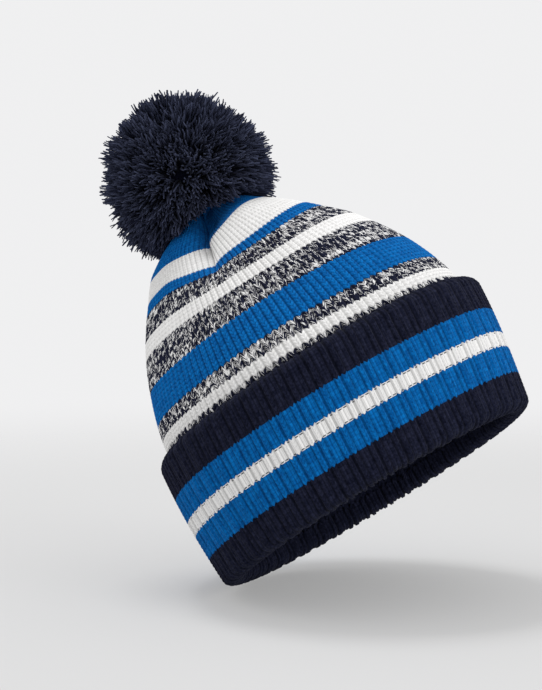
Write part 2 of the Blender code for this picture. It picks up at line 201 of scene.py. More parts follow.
# ---- Outlines --------------------------------------------------------------------------------
class Outline:
    """A turned outline as (radius, height) points, read by the length along it.

    Its guide is the outline that the drape is worked out on, so that layers keep their distance.
    """

    def __init__(self, radius, height, guide=None):
        self.radius = np.asarray(radius, float)
        self.height = np.asarray(height, float)
        self.guide = (self.radius, self.height) if guide is None else guide
        steps = np.hypot(np.diff(self.radius), np.diff(self.height))
        self.length = np.concatenate([[0.0], np.cumsum(steps)])

    def at(self, length):
        """Point and outward normal at a length; outlines run up the outside."""
        reach = 0.4 * MM
        low = np.clip(length - reach, 0.0, self.length[-1])
        high = np.clip(length + reach, 0.0, self.length[-1])
        run = np.interp(high, self.length, self.radius) - np.interp(low, self.length, self.radius)
        rise = np.interp(high, self.length, self.height) - np.interp(low, self.length, self.height)
        size = np.maximum(np.hypot(run, rise), 1e-9)
        radius = np.interp(length, self.length, self.radius)
        height = np.interp(length, self.length, self.height)
        return radius, height, rise / size, -run / size

    def drape_at(self, length, turn):
        """How far the drape moves the knit at a length and a turn."""
        guide = ring_points(np.interp(length, self.length, self.guide[0]),
                            np.interp(length, self.length, self.guide[1]), turn)
        return drape(guide) - guide


def body_outline():
    """Outside of the body, from inside the cuff to the gathered crown."""
    low = np.linspace(BODY_FOOT, CUFF_TOP, 40)
    share = 1.0 - np.linspace(1.0, CROWN_CLOSED, 320) ** 2
    heights = CUFF_TOP + share * CROWN_HEIGHT
    radii = CROWN_RADIUS * (1.0 - share ** CROWN_POWER) ** CROWN_ROUNDNESS
    straight = CROWN_RADIUS - BODY_TAPER * (1.0 - low / CUFF_TOP)
    return Outline(np.append(straight[:-1], radii), np.append(low[:-1], heights))


def arc_points(centre, radius, start, end, count):
    turns = np.radians(np.linspace(start, end, count))
    return centre[0] + radius * np.cos(turns), centre[1] + radius * np.sin(turns)


def cuff_outline():
    """Up inside the rim, under the fold, up the cuff and over its thick top edge to the body."""
    half = 0.5 * (RIM_RADIUS - INNER_RADIUS)
    fold_r, fold_z = arc_points((0.0, 0.0), 1.0, -180.0, 0.0, 30)
    fold_r = INNER_RADIUS + half + half * fold_r
    fold_z = FOLD_RADIUS * (1.0 + fold_z)
    wall_z = np.linspace(FOLD_RADIUS, CUFF_TOP - SHOULDER_ROUND - SHOULDER_LIP, 60)[1:]
    flare = SHOULDER_RADIUS - RIM_RADIUS
    share = np.clip((wall_z - FOLD_RADIUS) / (0.86 * CUFF_TOP - FOLD_RADIUS), 0.0, 1.0)
    wall_r = RIM_RADIUS + flare * np.sin(0.5 * math.pi * share)
    top = (SHOULDER_RADIUS - SHOULDER_ROUND, wall_z[-1])
    edge_r, edge_z = arc_points(top, SHOULDER_ROUND, 0.0, 115.0, 24)
    lip_r = np.array([CROWN_RADIUS + 0.3 * MM])
    lip_z = np.array([CUFF_TOP - SHOULDER_ROUND])
    radii = np.concatenate([[INNER_RADIUS], fold_r, wall_r, edge_r[1:], lip_r])
    heights = np.concatenate([[FOLD_TOP], fold_z, wall_z, edge_z[1:], lip_z])
    return Outline(radii, heights)


# ---- Meshes ----------------------------------------------------------------------------------
def grid_faces(rows, columns, round_rows=False, round_columns=False):
    """Faces of a grid of corners, which may close on itself either way."""
    row, column = np.meshgrid(np.arange(rows - (not round_rows)),
                              np.arange(columns - (not round_columns)), indexing="ij")
    next_row, next_column = (row + 1) % rows, (column + 1) % columns
    faces = np.stack([row * columns + column, row * columns + next_column,
                      next_row * columns + next_column, next_row * columns + column], axis=-1)
    return faces.reshape(-1, 4)


def grid_object(name, points, knit_u, knit_v):
    """Closed ring from a grid of points (rows round the section, columns round the hat)."""
    rows, columns = points.shape[:2]
    mesh = mesh_from_arrays(name, points.reshape(-1, 3), grid_faces(rows, columns, True, True))
    row, column = np.divmod(np.arange(rows * columns), columns)
    across = np.stack([column, column + 1, column + 1, column], axis=-1).ravel()
    along = np.stack([row, row, row + 1, row + 1], axis=-1).ravel()
    add_uv(mesh, "knit", knit_u[across], knit_v[along])
    add_uv(mesh, "OFBake", across / columns, along / rows)
    return link(name, mesh)


def mesh_from_arrays(name, corner, *groups):
    """Mesh from corners and groups of faces; a group's faces all have as many corners."""
    starts, used = [], 0
    for faces in groups:
        starts.append(used + np.arange(0, faces.size, faces.shape[1]))
        used += faces.size
    starts = np.concatenate(starts)
    mesh = bpy.data.meshes.new(name)
    mesh.vertices.add(len(corner))
    mesh.vertices.foreach_set("co", corner.astype(np.float32).ravel())
    mesh.loops.add(used)
    loops = np.concatenate([faces.ravel() for faces in groups]).astype(np.int32)
    mesh.loops.foreach_set("vertex_index", loops)
    mesh.polygons.add(len(starts))
    mesh.polygons.foreach_set("loop_start", starts.astype(np.int32))
    mesh.update(calc_edges=True)
    mesh.shade_smooth()
    return mesh


def add_uv(mesh, layer, across, along):
    data = np.stack([across, along], axis=-1).astype(np.float32)
    mesh.uv_layers.new(name=layer).data.foreach_set("uv", data.ravel())


def link(name, data):
    piece = bpy.data.objects.new(name, data)
    bpy.context.scene.collection.objects.link(piece)
    return piece


def finish_piece(piece, material, body="hat", replaced=()):
    piece.data.materials.append(material)
    if body:
        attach(piece, body)
    if replaced:
        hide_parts(*replaced)
    return piece


# ---- Stitch relief ---------------------------------------------------------------------------
def stitch_row(course):
    """Rounded back of the yarn across one row of stitches."""
    share = course - np.floor(course)
    return np.sqrt(np.clip(1.0 - (2.0 * share - 1.0) ** 2, 0.0, 1.0))


def body_relief(wale, course):
    """Rise of the rows along the V, and height of the knit, for the body's rib."""
    share = wale - np.floor(wale)
    reach = np.abs(2.0 * share - 1.0) / 0.80
    rise = CHEVRON * (2.0 * np.minimum(reach, 1.0) - 1.0)
    rib = np.sqrt(np.clip(1.0 - np.minimum(reach, 1.0) ** 3, 0.0, 1.0))
    valley = 1.0 - 0.35 * np.exp(-(reach / 0.16) ** 2)
    leg = 0.62 + 0.38 * stitch_row(course)
    return rise, (1.25 * rib * valley * leg - 0.95) * MM


# The cuff's rib repeat, as shares of its width: two ridges either side of a narrow recess, then
# a wide recess two purl stitches across.
RIDGE = 0.225
NARROW = 0.13
WIDE = 1.0 - 2.0 * RIDGE - NARROW
RIDGE_MIDDLES = (0.5 * WIDE + 0.5 * RIDGE, 1.0 - 0.5 * WIDE - 0.5 * RIDGE)


def cuff_relief(repeat, course):
    """The same for the cuff's rib: two ridges of V stitches, and purl bumps between."""
    share = repeat - np.floor(repeat)
    height = np.zeros_like(share)
    rise = np.zeros_like(share)
    for middle in RIDGE_MIDDLES:
        reach = np.abs(share - middle) / (0.5 * RIDGE)
        inside = np.minimum(reach, 1.0)
        rib = np.sqrt(np.clip(1.0 - inside ** 2.6, 0.0, 1.0))
        valley = 1.0 - 0.30 * np.exp(-(reach / 0.22) ** 2)
        leg = 0.72 + 0.28 * stitch_row(course)
        height = np.maximum(height, 1.55 * rib * valley * leg)
        rise = rise + np.where(reach < 1.0, CUFF_CHEVRON * (2.0 * inside - 1.0), 0.0)
    from_middle = np.minimum(share, 1.0 - share)
    panel = from_middle / (0.5 * WIDE)
    purl_wale = np.sin(math.pi * np.clip(panel, 0.0, 1.0)) ** 0.7
    bumps = stitch_row(course + 0.5 + 0.12 * np.cos(2.0 * math.pi * panel))
    inside_panel = smoothstep(1.0, 0.86, panel)
    height = height + inside_panel * (0.42 * purl_wale + 0.32 * bumps * purl_wale)
    return rise, (height - 1.15) * MM


def knit_ring(name, outline, low, high, repeats, samples, relief, course_zero,
              course_samples=COURSE_SAMPLES):
    """A band of knit between two lengths of an outline, closed by a plain back."""
    courses = max(1, round((high - low) / COURSE))
    columns = repeats * samples
    wale = np.arange(columns) / samples

    def layer(course, depth=None):
        """Points of the stitches' face, or of the plain back at a depth."""
        grid_wale, grid_course = np.meshgrid(wale, course)
        rise, height = relief(grid_wale, grid_course + course_zero)
        if depth is not None:
            height = -depth
        length = low + (high - low) / courses * (grid_course + rise)
        turn = 2.0 * math.pi * grid_wale / repeats
        radius, level, out_r, out_z = outline.at(length)
        points = ring_points(radius + height * out_r, level + height * out_z, turn)
        return points + outline.drape_at(length, turn)

    course = np.linspace(0.0, courses, courses * course_samples + 1)
    back_course = np.linspace(courses, 0.0, max(3, int((high - low) / (4.0 * MM)) + 2))
    knit_u = np.arange(columns + 1) / samples
    knit_v = course_zero + np.concatenate([course, back_course, course[:1]])
    points = np.concatenate([layer(course), layer(back_course, PLY)])
    return grid_object(name, points, knit_u, knit_v), courses


def ring_points(radius, level, turn):
    return np.stack([radius * np.cos(turn), radius * np.sin(turn), level], axis=-1)


# ---- Materials -------------------------------------------------------------------------------
class Nodes:
    """Short way to build a node tree."""

    def __init__(self, name):
        self.material = bpy.data.materials.new(name)
        self.material.use_nodes = True
        self.tree = self.material.node_tree
        self.shader = self.tree.nodes["Principled BSDF"]

    def add(self, kind, **settings):
        node = self.tree.nodes.new(kind)
        for key, value in settings.items():
            setattr(node, key, value)
        return node

    def feed(self, socket, value):
        """Sets a socket to a number or a colour, or joins another node's output to it."""
        if isinstance(value, (int, float)):
            socket.default_value = value
        elif isinstance(value, tuple):
            socket.default_value = (*value, 1.0)
        else:
            self.tree.links.new(value, socket)

    def math(self, operation, first, second=0.0):
        node = self.add("ShaderNodeMath", operation=operation)
        self.feed(node.inputs[0], first)
        self.feed(node.inputs[1], second)
        return node.outputs[0]

    def mix(self, factor, first, second):
        node = self.add("ShaderNodeMix", data_type="RGBA")
        for index, value in ((0, factor), (6, first), (7, second)):
            self.feed(node.inputs[index], value)
        return node.outputs[2]

    def point(self, across, along):
        node = self.add("ShaderNodeCombineXYZ")
        self.feed(node.inputs[0], across)
        self.feed(node.inputs[1], along)
        return node.outputs[0]

    def place(self):
        """Point of the surface, in the piece's own space."""
        return self.add("ShaderNodeTexCoord").outputs["Object"]

    def uv(self, layer):
        """The two coordinates of a UV layer."""
        split = self.add("ShaderNodeSeparateXYZ")
        self.feed(split.inputs[0], self.add("ShaderNodeUVMap", uv_map=layer).outputs[0])
        return split.outputs[0], split.outputs[1]

    def noise(self, vector, scale, detail, roughness=0.6):
        node = self.add("ShaderNodeTexNoise")
        for key, value in (("Vector", vector), ("Scale", scale), ("Detail", detail),
                           ("Roughness", roughness)):
            self.feed(node.inputs[key], value)
        return node.outputs["Fac"]

    def gap(self, value, middle):
        """Distance of a value from a middle."""
        return self.math("ABSOLUTE", self.math("SUBTRACT", value, middle))

    def from_half(self, value):
        """Distance of a value's fraction from a half."""
        return self.gap(self.math("FRACT", value), 0.5)

    def step(self, value, low, high):
        """0 at low and 1 at high, smooth between; high may be the smaller of the two."""
        node = self.add("ShaderNodeMapRange", interpolation_type="SMOOTHSTEP")
        for index, number in enumerate((value, low, high)):
            self.feed(node.inputs[index], number)
        return node.outputs[0]

    def dim(self, colour, amount, depth):
        """Colour darkened where amount is 1, by a depth from 0 to 1."""
        node = self.add("ShaderNodeVectorMath", operation="SCALE")
        self.feed(node.inputs[0], colour)
        keep = self.math("SUBTRACT", 1.0, self.math("MULTIPLY", amount, depth))
        self.feed(node.inputs["Scale"], keep)
        return node.outputs[0]

    def bump(self, height, strength, distance):
        node = self.add("ShaderNodeBump")
        for key, value in (("Strength", strength), ("Distance", distance), ("Height", height)):
            self.feed(node.inputs[key], value)
        self.feed(self.shader.inputs["Normal"], node.outputs[0])

    def finish(self, colour, roughness=0.92):
        """Matt yarn with a trace of sheen."""
        for key, value in (("Base Color", colour), ("Roughness", roughness),
                           ("Specular IOR Level", 0.06), ("Sheen Weight", 0.03),
                           ("Sheen Roughness", 0.45)):
            self.feed(self.shader.inputs[key], value)
        return self.material


# Every yarn goes from a dark colour to a light one.
NAVY, NAVY_LIGHT = (0.0035, 0.0048, 0.0150), (0.0210, 0.0240, 0.0500)
BLUE, BLUE_LIGHT = (0.0004, 0.0820, 0.3000), (0.0030, 0.1900, 0.5700)
WHITE, WHITE_LIGHT = (0.8050, 0.7970, 0.7850), (0.9350, 0.9300, 0.9220)
# For the pom pom the dark colour is painted shade at the strands' roots and the light one a painted highlight on
# their cut ends.
POM, POM_TIP_HIGHLIGHT = (0.0050, 0.0062, 0.0175), (0.0540, 0.0630, 0.1100)
SATIN, SATIN_LIGHT = (0.66, 0.65, 0.62), (0.74, 0.73, 0.70)

FIBRE_SCALE = 2600.0        # fine fibres of the knit
GRAIN_SCALE = 900.0         # unevenness of its yarn
CUFF_CELLS = 8.0            # colour cells to a rib repeat of the cuff
BODY_CELLS = 2.0            # and to a wale of the body: one for each leg of the V
MARL_LEAN = -3.2            # how steeply the marl's strokes follow the legs of the V
MARL_ACROSS = 2.4           # strokes to a wale
MARL_ALONG = 2.3            # and to a row
MARL_SPLIT = 0.815          # where navy turns to white
DASH_INSET = 0.34           # middle of the navy dashes, in rows from the edge of the stripe
DASH_HALF = 0.15


def fibres(nodes, strength=0.55):
    """Fine yarn fibres: a bump that is the same on every knitted piece."""
    place = nodes.place()
    fine = nodes.noise(place, FIBRE_SCALE, 4.0, 0.7)
    coarse = nodes.noise(place, GRAIN_SCALE, 2.0)
    nodes.bump(nodes.math("ADD", fine, coarse), strength, 0.35 * MM)
    return fine, coarse


def stitch_shade(nodes, across, along, cells):
    """Slightly different depth of colour from stitch to stitch."""
    column = nodes.math("FLOOR", nodes.math("MULTIPLY", across, cells))
    random = nodes.add("ShaderNodeTexWhiteNoise", noise_dimensions="2D")
    nodes.feed(random.inputs["Vector"], nodes.point(column, nodes.math("FLOOR", along)))
    return random.outputs["Value"]


def furrow_shade_mask(nodes, across, cuff):
    """Mask of painted shade: 1 in the furrows between the ribs, 0 on their backs; on the cuff also thin lines
    between the stitch columns.
    """
    middle = nodes.from_half(across)
    if not cuff:
        return nodes.step(middle, 0.33, 0.44)
    side = nodes.step(nodes.gap(middle, 0.5 * NARROW + RIDGE + 0.01), 0.055, 0.015)
    narrow = nodes.step(middle, 0.5 * NARROW, 0.30 * NARROW)
    # Thin lines of painted shade between the stitch columns of the cuff.
    column = nodes.from_half(nodes.math("MULTIPLY", across, CUFF_CELLS))
    column_line_shade = nodes.math("MULTIPLY", nodes.step(column, 0.28, 0.48), 0.7)
    return nodes.math("MAXIMUM", nodes.math("MAXIMUM", side, narrow), column_line_shade)


def plain_knit(name, dark, light, cuff=False, depth=0.42, row_groove_shade=0.34):
    """One yarn; depth paints shade into the furrows between ribs, and the last number paints shade into the
    grooves between rows.
    """
    nodes = Nodes(name)
    across, along = nodes.uv("knit")
    _, coarse = fibres(nodes)
    shade = stitch_shade(nodes, across, along, CUFF_CELLS if cuff else BODY_CELLS)
    grain = nodes.math("SUBTRACT", nodes.math("MULTIPLY", coarse, 1.5), 0.55)
    blend = nodes.math("ADD", nodes.math("MULTIPLY", shade, 0.45), grain)
    # Painted shade in the grooves between the rows of stitches.
    rows = nodes.step(nodes.from_half(along), 0.24, 0.5)
    colour = nodes.dim(nodes.mix(blend, dark, light), rows, row_groove_shade)
    # Painted shade in the furrows between the ribs.
    return nodes.finish(nodes.dim(colour, furrow_shade_mask(nodes, across, cuff), depth))


def marl_knit(name):
    """Navy and white strands knitted together: short strokes of each along the legs."""
    nodes = Nodes(name)
    across, along = nodes.uv("knit")
    fine, _ = fibres(nodes)
    shade = stitch_shade(nodes, across, along, BODY_CELLS)
    lean = nodes.math("ADD", along, nodes.math("MULTIPLY", nodes.from_half(across), MARL_LEAN))
    stroke = nodes.noise(nodes.point(nodes.math("MULTIPLY", across, MARL_ACROSS),
                                     nodes.math("MULTIPLY", lean, MARL_ALONG)), 1.0, 1.0, 0.5)
    row = nodes.noise(nodes.point(nodes.math("MULTIPLY", across, 0.05),
                                  nodes.math("MULTIPLY", along, 0.9)), 1.0, 0.0)
    strand = nodes.math("ADD", nodes.math("MULTIPLY", shade, 0.20), stroke)
    strand = nodes.math("ADD", strand, nodes.math("MULTIPLY", row, 0.30))
    ramp = nodes.add("ShaderNodeValToRGB")
    nodes.feed(ramp.inputs[0], strand)
    for element, place in zip(ramp.color_ramp.elements, (MARL_SPLIT, MARL_SPLIT + 0.015)):
        element.position = place
    colour = nodes.mix(ramp.outputs[0], nodes.mix(fine, NAVY, NAVY_LIGHT),
                       nodes.mix(fine, WHITE, WHITE_LIGHT))
    # Painted shade in the furrows between the ribs.
    return nodes.finish(nodes.dim(colour, furrow_shade_mask(nodes, across, False), 0.5))


def cuff_white(name, low, high):
    """White stripe of the cuff, with the navy dashes that purl stitches show at a colour change."""
    nodes = Nodes(name)
    across, along = nodes.uv("knit")
    fine, _ = fibres(nodes)
    middle = nodes.from_half(across)
    edge = nodes.math("SUBTRACT", 0.5, middle)
    narrow = nodes.math("LESS_THAN", middle, 0.42 * NARROW)
    wide = nodes.math("LESS_THAN", edge, 0.42 * WIDE)
    split = nodes.math("GREATER_THAN", edge, 0.035)
    recess = nodes.math("MAXIMUM", narrow, nodes.math("MULTIPLY", wide, split))
    from_edge = nodes.math("MINIMUM", nodes.gap(along, low + DASH_INSET),
                           nodes.gap(along, high - DASH_INSET))
    dash = nodes.math("LESS_THAN", from_edge, DASH_HALF)
    mask = nodes.math("MULTIPLY", nodes.math("MULTIPLY", recess, dash), 0.85)
    colour = nodes.mix(mask, nodes.mix(fine, WHITE, WHITE_LIGHT), NAVY)
    # Painted shade in the furrows between the ribs and the stitch columns.
    return nodes.finish(nodes.dim(colour, furrow_shade_mask(nodes, across, True), 0.35))


def pom_material(name):
    """Cut yarn: darkest at the roots and lighter towards the cut ends, as painted shade inside the ball and a
    painted highlight on the ends; each strand a little different.
    """
    nodes = Nodes(name)
    fine = nodes.noise(nodes.place(), 1800.0, 4.0, 0.7)
    nodes.bump(fine, 0.6, 0.4 * MM)
    own, along = nodes.uv("strand")
    # Painted highlight towards the cut ends, painted shade at the roots.
    tip = nodes.step(along, 0.55, 1.0)
    own = nodes.math("ADD", nodes.math("MULTIPLY", own, 1.1), 0.12)
    blend = nodes.math("MULTIPLY", nodes.math("MULTIPLY", tip, own), nodes.math("ADD", fine, 0.4))
    return nodes.finish(nodes.mix(blend, POM, POM_TIP_HIGHLIGHT))


def thread_material(name, dark, light):
    nodes = Nodes(name)
    fine = nodes.noise(nodes.place(), 2200.0, 3.0)
    nodes.bump(fine, 0.5, 0.3 * MM)
    return nodes.finish(nodes.mix(fine, dark, light))


def label_material(name):
    """Smooth woven satin with a fine warp, blank."""
    nodes = Nodes(name)
    wave = nodes.add("ShaderNodeTexWave", bands_direction="X")
    for key, value in (("Scale", 900.0), ("Distortion", 1.5), ("Vector", nodes.place())):
        nodes.feed(wave.inputs[key], value)
    nodes.bump(wave.outputs["Fac"], 0.3, 0.1 * MM)
    return nodes.finish(nodes.mix(wave.outputs["Fac"], SATIN, SATIN_LIGHT), 0.55)


# ---- Building the hat ------------------------------------------------------------------------
YARN_OF_NODE = {entry["node"]: entry["material_slot"] for entry in frame["record"]["subparts"]}
# Where given, the numbers after the colours set how dark the painted shade is in the furrows between ribs and in
# the grooves between rows, here and for the cuff.
MATERIALS = {
    "navy_yarn": plain_knit("knit_navy", NAVY, NAVY_LIGHT),
    "blue_yarn": plain_knit("knit_blue", BLUE, BLUE_LIGHT),
    "white_yarn": plain_knit("knit_white", WHITE, WHITE_LIGHT, depth=0.22, row_groove_shade=0.12),
    "marl_yarn": marl_knit("knit_marl"),
}
CUFF_MATERIALS = {
    "navy_yarn": plain_knit("knit_cuff_navy", NAVY, NAVY_LIGHT, cuff=True, depth=0.5, row_groove_shade=0.2),
    "blue_yarn": plain_knit("knit_cuff_blue", BLUE, BLUE_LIGHT, cuff=True, depth=0.45, row_groove_shade=0.2),
}


def make_body():
    outline = body_outline()
    course = 0
    low = 0.5 * COURSE
    for node in BODY_NODES:
        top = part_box(node)[1].z
        high = float(np.interp(top, outline.height, outline.length))
        if node == BODY_NODES[-1]:
            high = outline.length[-1] - COURSE
        yarn = YARN_OF_NODE[node]
        samples, course_samples = BODY_SAMPLES, COURSE_SAMPLES
        if node == BODY_NODES[0]:
            samples, course_samples = HIDDEN_SAMPLES
        piece, used = knit_ring(node + "_knit", outline, low, high, BODY_WALES, samples,
                                body_relief, course, course_samples)
        finish_piece(piece, MATERIALS[yarn], replaced=(node,))
        course += used
        low = high


def make_cuff():
    outline = cuff_outline()
    # The outside of the cuff's wall, where height is enough to find a place along the outline.
    wall = (outline.radius > RIM_RADIUS - 1.0 * MM) & (outline.height > 4.0 * MM)
    heights, lengths = outline.height[wall][:60], outline.length[wall][:60]
    fold_end = float(np.interp(4.0 * MM, outline.height[20:60], outline.length[20:60]))
    stops = [("rim_fold", "cuff_inner_ply", "navy_yarn", fold_end)]
    for node in CUFF_NODES:
        high = float(np.interp(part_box(node)[1].z, heights, lengths))
        if node == CUFF_NODES[-1]:
            high = outline.length[-1] - 0.5 * COURSE
        stops.append((node, node, YARN_OF_NODE[node], high))
    course = 0
    low = 1.2 * COURSE
    for name, node, yarn, high in stops:
        piece, used = knit_ring(name + "_knit", outline, low, high, CUFF_PERIODS, CUFF_SAMPLES,
                                cuff_relief, course)
        if yarn == "white_yarn":
            material = cuff_white("knit_cuff_white", course, course + used)
        else:
            material = CUFF_MATERIALS[yarn]
        finish_piece(piece, material, replaced=(node,))
        course += used
        low = high


def make_inner_layer():
    """Inside of the double knit: the same rib seen from the wearer's side."""
    outer = body_outline()
    radius, height, out_r, out_z = outer.at(outer.length)
    depth = 2.0 * PLY + 0.8 * MM + 1.3 * MM * smoothstep(140 * MM, 172 * MM, height)
    keep = (height > 7 * MM) & (radius - depth * out_r > 1.5 * MM)
    radius, height, out_r, out_z, depth = (
        values[keep] for values in (radius, height, out_r, out_z, depth))
    outline = Outline((radius - depth * out_r)[::-1], (height - depth * out_z)[::-1],
                      (radius[::-1], height[::-1]))
    stops = (0.8 * COURSE, 0.5 * outline.length[-1], outline.length[-1] - 0.6 * COURSE)
    course = 0
    for name, low, high in zip(("inner_layer_crown_knit", "inner_layer_knit"), stops, stops[1:]):
        samples, course_samples = INSIDE_SAMPLES
        piece, used = knit_ring(name, outline, low, high, BODY_WALES, samples, body_relief, course,
                                course_samples)
        finish_piece(piece, MATERIALS["navy_yarn"], replaced=("inner_layer",))
        course += used


make_body()
make_cuff()
make_inner_layer()


# ---- Threads, seams, cord, knot and label ----------------------------------------------------
def frames_along(route):
    """Two directions square to a route of points, at each of them."""
    tangent = np.gradient(route, axis=0)
    tangent /= np.linalg.norm(tangent, axis=1)[:, None]
    seed = np.array([0.0, 0.0, 1.0]) if abs(tangent[0][2]) < 0.8 else np.array([1.0, 0.0, 0.0])
    side = np.cross(tangent[0], seed)
    sides = []
    for along in tangent:
        side = side - along * np.dot(side, along)
        side = side / np.linalg.norm(side)
        sides.append(side)
    sides = np.array(sides)
    return sides, np.cross(tangent, sides)


def tube_arrays(route, radius, sides=8):
    """Corners and faces of a closed round tube along a route; radius may vary along it."""
    route = np.asarray(route, float)
    radius = np.broadcast_to(np.asarray(radius, float), (len(route),))
    side, lift = frames_along(route)
    turn = 2.0 * math.pi * np.arange(sides) / sides
    ring = (side[:, None] * np.cos(turn)[None, :, None]
            + lift[:, None] * np.sin(turn)[None, :, None])
    corner = route[:, None] + ring * radius[:, None, None]
    corner = np.concatenate([corner.reshape(-1, 3), route[:1], route[-1:]])
    return corner, tube_faces(len(route), sides)


def tube_faces(rings, sides):
    """Side and end faces of a closed tube whose last two corners are the middles of its ends."""
    turn = np.arange(sides)
    after = (turn + 1) % sides
    middle = np.full(sides, rings * sides)
    end = (rings - 1) * sides
    caps = np.concatenate([np.stack([middle, after, turn], axis=-1),
                           np.stack([middle + 1, end + turn, end + after], axis=-1)])
    return grid_faces(rings, sides, round_columns=True), caps


def tubes_object(name, tubes):
    """One mesh object from the corners and faces of several tubes."""
    corners, quads, caps, base = [], [], [], 0
    for corner, (sides, ends) in tubes:
        corners.append(corner)
        quads.append(sides + base)
        caps.append(ends + base)
        base += len(corner)
    parts = [np.concatenate(part) for part in (corners, quads, caps)]
    return link(name, mesh_from_arrays(name, *parts))


def run_length(points):
    """Length along a route of points, at each of them."""
    steps = np.linalg.norm(np.diff(points, axis=0), axis=1)
    return np.concatenate([[0.0], np.cumsum(steps)])


def twisted(route, radius, plies=3, pitch=5.0 * MM, sides=7):
    """Plied cord along a route: several strands wound round each other."""
    route = np.asarray(route, float)
    side, lift = frames_along(route)
    length = run_length(route)
    strand = radius * 0.53
    orbit = radius - strand
    tubes = []
    for ply in range(plies):
        angle = 2.0 * math.pi * (length / pitch + ply / plies)
        offset = side * np.cos(angle)[:, None] + lift * np.sin(angle)[:, None]
        tubes.append(tube_arrays(route + offset * orbit, strand, sides))
    return tubes


def resample(points, spacing):
    points = np.asarray(points, float)
    length = run_length(points)
    count = max(6, int(length[-1] / spacing))
    at = np.linspace(0.0, length[-1], count)
    return np.stack([np.interp(at, length, points[:, axis]) for axis in range(3)], axis=-1)


def drape_inside(points):
    """Moves points just inside the hat as its outer layer moves."""
    height = points[:, 2] + 4.0 * MM * smoothstep(150 * MM, 184 * MM, points[:, 2])
    turn = np.arctan2(points[:, 1], points[:, 0])
    straight = CROWN_RADIUS - BODY_TAPER * (1.0 - height / CUFF_TOP)
    radius = np.where(height > CUFF_TOP, CROWN_RADIUS * crown_share(height), straight)
    guide = ring_points(radius, height, turn)
    return points + drape(guide) - guide


def seam_route(node):
    """Middle line of a seam's CAD tube, from the frame, draped like the hat."""
    corner = np.array([v.co for v in frame["nodes"][node].data.vertices])
    corner = corner[np.argsort(corner[:, 2])]
    groups = np.array_split(corner, max(4, len(corner) // 16))
    return drape_inside(resample([group.mean(axis=0) for group in groups], 0.5 * MM))


def make_seams():
    material = thread_material("thread_navy", NAVY, NAVY_LIGHT)
    for node in ["dart_seam_%d" % (i + 1) for i in range(4)] + ["back_seam"]:
        piece = tubes_object(node + "_linked", twisted(seam_route(node), 1.1 * MM, 2, 3.2 * MM))
        finish_piece(piece, material, replaced=(node,))

    low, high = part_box("crown_gather_thread")
    ring = 0.5 * (high.x - low.x) - 0.8 * MM
    route = drape(loop_points(ring, 0.5 * (low.z + high.z), 90))
    piece = tubes_object("crown_gather_loop", twisted(route, 0.8 * MM, 2, 3.0 * MM))
    finish_piece(piece, material, replaced=("crown_gather_thread",))
    return material


def loop_points(radius, level, count):
    """Level circle of points that ends where it starts."""
    turn = np.linspace(0.0, 2.0 * math.pi, count)
    return ring_points(radius, np.full(count, level), turn)


def crown_shift(height):
    """Sideways shift of the leaning hat at a height."""
    right, _ = view_axes()
    lean = float(np.interp(height, LEAN_HEIGHTS, LEAN_SHIFTS))
    return np.array([right.x * lean, right.y * lean, 0.0])


def make_tie(material):
    radius = 1.6 * MM
    shift = crown_shift(PIVOT.z)
    for node, body in (("tie_cord_lower", "tie"), ("tie_cord_upper", "swivel")):
        low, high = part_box(node)
        route = resample([(0, 0, low.z), (0, 0, high.z)], 0.5 * MM) + shift
        piece = tubes_object(node + "_plied", twisted(route, radius, 3, 6.0 * MM))
        finish_piece(piece, material, body, (node,))

    low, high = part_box("tie_knot")
    centre = np.array([0.0, 0.0, 0.5 * (low.z + high.z)]) + shift
    turn = np.linspace(0.0, 2.0 * math.pi, 120)
    size = 0.1116 * (high.x - low.x)
    trefoil = np.stack([np.sin(turn) + 2.0 * np.sin(2.0 * turn),
                        np.cos(turn) - 2.0 * np.cos(2.0 * turn), -np.sin(3.0 * turn)], axis=-1)
    route = trefoil * size + centre
    piece = tubes_object("tie_knot_tied", [tube_arrays(route, 1.35 * MM, 10)])
    finish_piece(piece, material, "tie", ("tie_knot",))


def make_label():
    low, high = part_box("care_label")
    columns, rows = 17, 25
    across = np.linspace(low.x, high.x, columns)
    along = np.linspace(low.z, high.z, rows)
    x, z = np.meshgrid(across, along)
    middle = 0.5 * (low.y + high.y)
    hang = (high.z - z) / (high.z - low.z)
    y = middle - 0.9 * MM * np.sin(math.pi * hang) * (0.6 + 0.4 * np.cos(x / (6 * MM)))
    y = y - 1.8 * x * x                         # it curls to the hat's round wall
    sheet = drape_inside(np.stack([x, y, z], axis=-1).reshape(-1, 3))
    mesh = mesh_from_arrays("care_label_sewn", sheet, grid_faces(rows, columns))
    piece = link("care_label_sewn", mesh)
    shell = piece.modifiers.new("cloth", "SOLIDIFY")
    shell.thickness = 0.35 * MM
    finish_piece(piece, label_material("label_satin"), replaced=("care_label",))


navy_thread = make_seams()
make_tie(navy_thread)
make_label()


# ---- The pom pom -----------------------------------------------------------------------------
POM_TUFTS = 800
TUFT_STRANDS = 4
PLIES = 3
RINGS = 8
SIDES = 5
POM_MIDDLE = POM_TOP - 45.5 * MM
LOWEST_TUFT = -0.74         # level of the lowest tuft's direction, where 1 is straight up
TUFT_JITTER = 0.045         # how unevenly the tufts are spread over the ball
TUFT_TILT = 0.065           # how much they lean to one side
TUFT_LENGTH = 0.028         # how much they differ in length
BALL_SWELL = 0.035          # lumps of the ball, as a share of its radius
ROOT_SPREAD = 0.035         # spread of a tuft's strands at their roots
TIP_SPREAD = 0.050          # and at their tips
STRAND_REACH = (0.925, 0.026)       # mean and spread of a strand's length, as a share
ROOT_DEPTH = 0.40           # where the strands start, as a share of their reach
CROWN_CLEARANCE = 2.9 * MM  # middle of the strands that rest on the crown, above its plain curve


